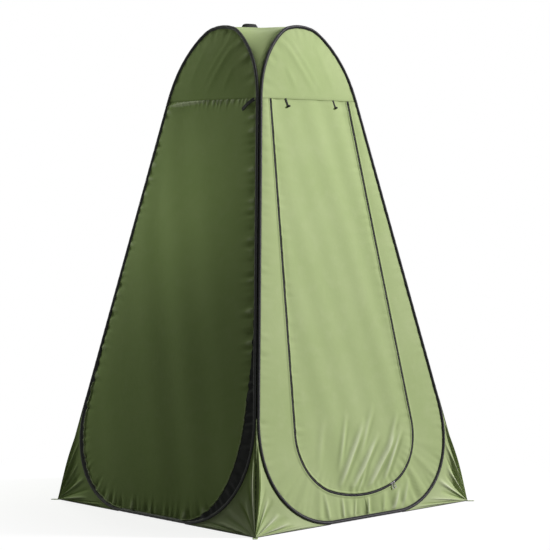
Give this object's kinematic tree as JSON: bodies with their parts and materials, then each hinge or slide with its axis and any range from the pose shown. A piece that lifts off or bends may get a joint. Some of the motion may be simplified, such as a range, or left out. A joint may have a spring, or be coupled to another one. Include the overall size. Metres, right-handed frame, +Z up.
{
  "type": "pop-up privacy shower tent",
  "caption": "Tall pop-up privacy shower tent with leaning fabric walls on spring-wire hoops in black binding, a zipped front door that pleats up, door ties, a roof loop and corner peg loops",
  "frame": {"origin": "on the ground at the middle of the tent's square base", "axes": "+Z up; the front wall with the door faces -Y; +X is to the right as seen from outside the front"},
  "size_m": [1.2288, 1.2288, 1.93],
  "materials": {
    "wall_cloth": "sage green coated taffeta with a soft sheen",
    "door_cloth": "sage green coated taffeta with soft diagonal folds",
    "roof_cloth": "sage green coated taffeta",
    "binding": "black woven binding tape with a faint gloss",
    "spring_wire": "drawn spring steel",
    "zip_tape": "black woven zip tape",
    "zip_teeth": "black nylon coil",
    "zip_metal": "light grey die-cast metal",
    "webbing": "black ribbed webbing",
    "toggle_plastic": "black moulded plastic"
  },
  "bodies": {
    "front": {"front_wall": "wall_cloth", "front_yoke": "wall_cloth", "front_gusset_left": "wall_cloth", "front_gusset_right": "wall_cloth", "front_sleeve": "binding", "front_hoop": "spring_wire", "front_ferrule": "spring_wire", "door_section_1": "door_cloth", "zip_chain": "zip_teeth", "zip_tape": "zip_tape", "roof": "roof_cloth", "roof_loop": "webbing", "peg_loop_front_left": "webbing", "peg_loop_front_right": "webbing"},
    "right": {"right_wall": "wall_cloth", "right_yoke": "wall_cloth", "right_gusset_left": "wall_cloth", "right_gusset_right": "wall_cloth", "right_sleeve": "binding", "right_hoop": "spring_wire", "right_ferrule": "spring_wire", "peg_loop_back_right": "webbing"},
    "back": {"back_wall": "wall_cloth", "back_yoke": "wall_cloth", "back_gusset_left": "wall_cloth", "back_gusset_right": "wall_cloth", "back_sleeve": "binding", "back_hoop": "spring_wire", "back_ferrule": "spring_wire"},
    "left": {"left_wall": "wall_cloth", "left_yoke": "wall_cloth", "left_gusset_left": "wall_cloth", "left_gusset_right": "wall_cloth", "left_sleeve": "binding", "left_hoop": "spring_wire", "left_ferrule": "spring_wire", "peg_loop_back_left": "webbing"},
    "door_2": {"door_section_2": "door_cloth"},
    "door_3": {"door_section_3": "door_cloth"},
    "door_4": {"door_section_4": "door_cloth"},
    "door_5": {"door_section_5": "door_cloth"},
    "door_6": {"door_section_6": "door_cloth"},
    "door_7": {"door_section_7": "door_cloth"},
    "slider_left": {"zip_slider_left": "zip_metal"},
    "slider_right": {"zip_slider_right": "zip_metal"},
    "pull_left": {"zip_pull_left": "zip_metal"},
    "pull_right": {"zip_pull_right": "zip_metal"},
    "tie_left": {"door_tie_left": "webbing", "tie_toggle_left": "toggle_plastic"},
    "tie_right": {"door_tie_right": "webbing", "tie_toggle_right": "toggle_plastic"},
    "strap": {"corner_strap": "webbing"}
  },
  "joints": [
    {"name": "right_fold", "type": "hinge", "parent": "front", "child": "right", "pos_m": [0.58507, -0.58507, 0], "axis": [-0.1902, 0.1902, 0.9632], "range_deg": [0, 85], "stiffness_Nm_per_rad": 15, "deforming": ["roof", "peg_loop_front_right"]},
    {"name": "left_fold", "type": "hinge", "parent": "front", "child": "left", "pos_m": [-0.592, -0.592, 0], "axis": [0.1902, 0.1902, 0.9632], "range_deg": [0, 85]},
    {"name": "back_fold", "type": "hinge", "parent": "right", "child": "back", "pos_m": [0.592, 0.592, 0], "axis": [-0.1902, -0.1902, 0.9632], "range_deg": [-85, 0]},
    {"name": "door_pleat_2", "type": "hinge", "parent": "front", "child": "door_2", "pos_m": [0, -0.33112, 1.34698], "axis": [-1, 0, 0], "range_deg": [0, 178]},
    {"name": "door_pleat_3", "type": "hinge", "parent": "door_2", "child": "door_3", "pos_m": [0, -0.35987, 1.14975], "axis": [-1, 0, 0], "range_deg": [-178, 0]},
    {"name": "door_pleat_4", "type": "hinge", "parent": "door_3", "child": "door_4", "pos_m": [0, -0.40825, 0.95639], "axis": [-1, 0, 0], "range_deg": [0, 178]},
    {"name": "door_pleat_5", "type": "hinge", "parent": "door_4", "child": "door_5", "pos_m": [0, -0.437, 0.75916], "axis": [-1, 0, 0], "range_deg": [-178, 0]},
    {"name": "door_pleat_6", "type": "hinge", "parent": "door_5", "child": "door_6", "pos_m": [0, -0.48537, 0.56581], "axis": [-1, 0, 0], "range_deg": [0, 178]},
    {"name": "door_pleat_7", "type": "hinge", "parent": "door_6", "child": "door_7", "pos_m": [0, -0.51412, 0.36858], "axis": [-1, 0, 0], "range_deg": [-178, 0]},
    {"name": "zip_slider_left", "type": "hinge", "parent": "door_7", "child": "slider_left", "pos_m": [0, -0.46724, 0.6318], "axis": [0, -0.9811, 0.1937], "range_deg": [-33, 0]},
    {"name": "zip_slider_right", "type": "hinge", "parent": "door_7", "child": "slider_right", "pos_m": [0.09649, -0.52668, 0.33079], "axis": [0, -0.9811, 0.1937], "range_deg": [0, 65]},
    {"name": "zip_pull_left", "type": "hinge", "parent": "slider_left", "child": "pull_left", "pos_m": [0.15864, -0.57466, 0.11622], "axis": [-0.9575, -0.0559, -0.283], "range_deg": [0, 150]},
    {"name": "zip_pull_right", "type": "hinge", "parent": "slider_right", "child": "pull_right", "pos_m": [0.17131, -0.57387, 0.12019], "axis": [-0.9448, -0.0635, -0.3214], "range_deg": [0, 150]},
    {"name": "door_tie_left", "type": "hinge", "parent": "front", "child": "tie_left", "pos_m": [-0.131, -0.27349, 1.62101], "axis": [-0.9613, -0.0534, -0.2704], "range_deg": [0, 150]},
    {"name": "door_tie_right", "type": "hinge", "parent": "front", "child": "tie_right", "pos_m": [0.131, -0.27349, 1.62101], "axis": [-0.9613, -0.0534, -0.2704], "range_deg": [0, 150]},
    {"name": "corner_strap", "type": "hinge", "parent": "left", "child": "strap", "pos_m": [-0.27486, -0.25184, 1.6172], "axis": [0.1567, 0.5878, 0.7937], "range_deg": [0, 90]}
  ],
  "couplings": [
    {"joint": "left_fold", "follows": "right_fold", "ratio": 1},
    {"joint": "back_fold", "follows": "right_fold", "ratio": -1},
    {"joint": "door_pleat_3", "follows": "door_pleat_2", "ratio": -1},
    {"joint": "door_pleat_4", "follows": "door_pleat_2", "ratio": 1},
    {"joint": "door_pleat_5", "follows": "door_pleat_2", "ratio": -1},
    {"joint": "door_pleat_6", "follows": "door_pleat_2", "ratio": 1},
    {"joint": "door_pleat_7", "follows": "door_pleat_2", "ratio": -1}
  ]
}
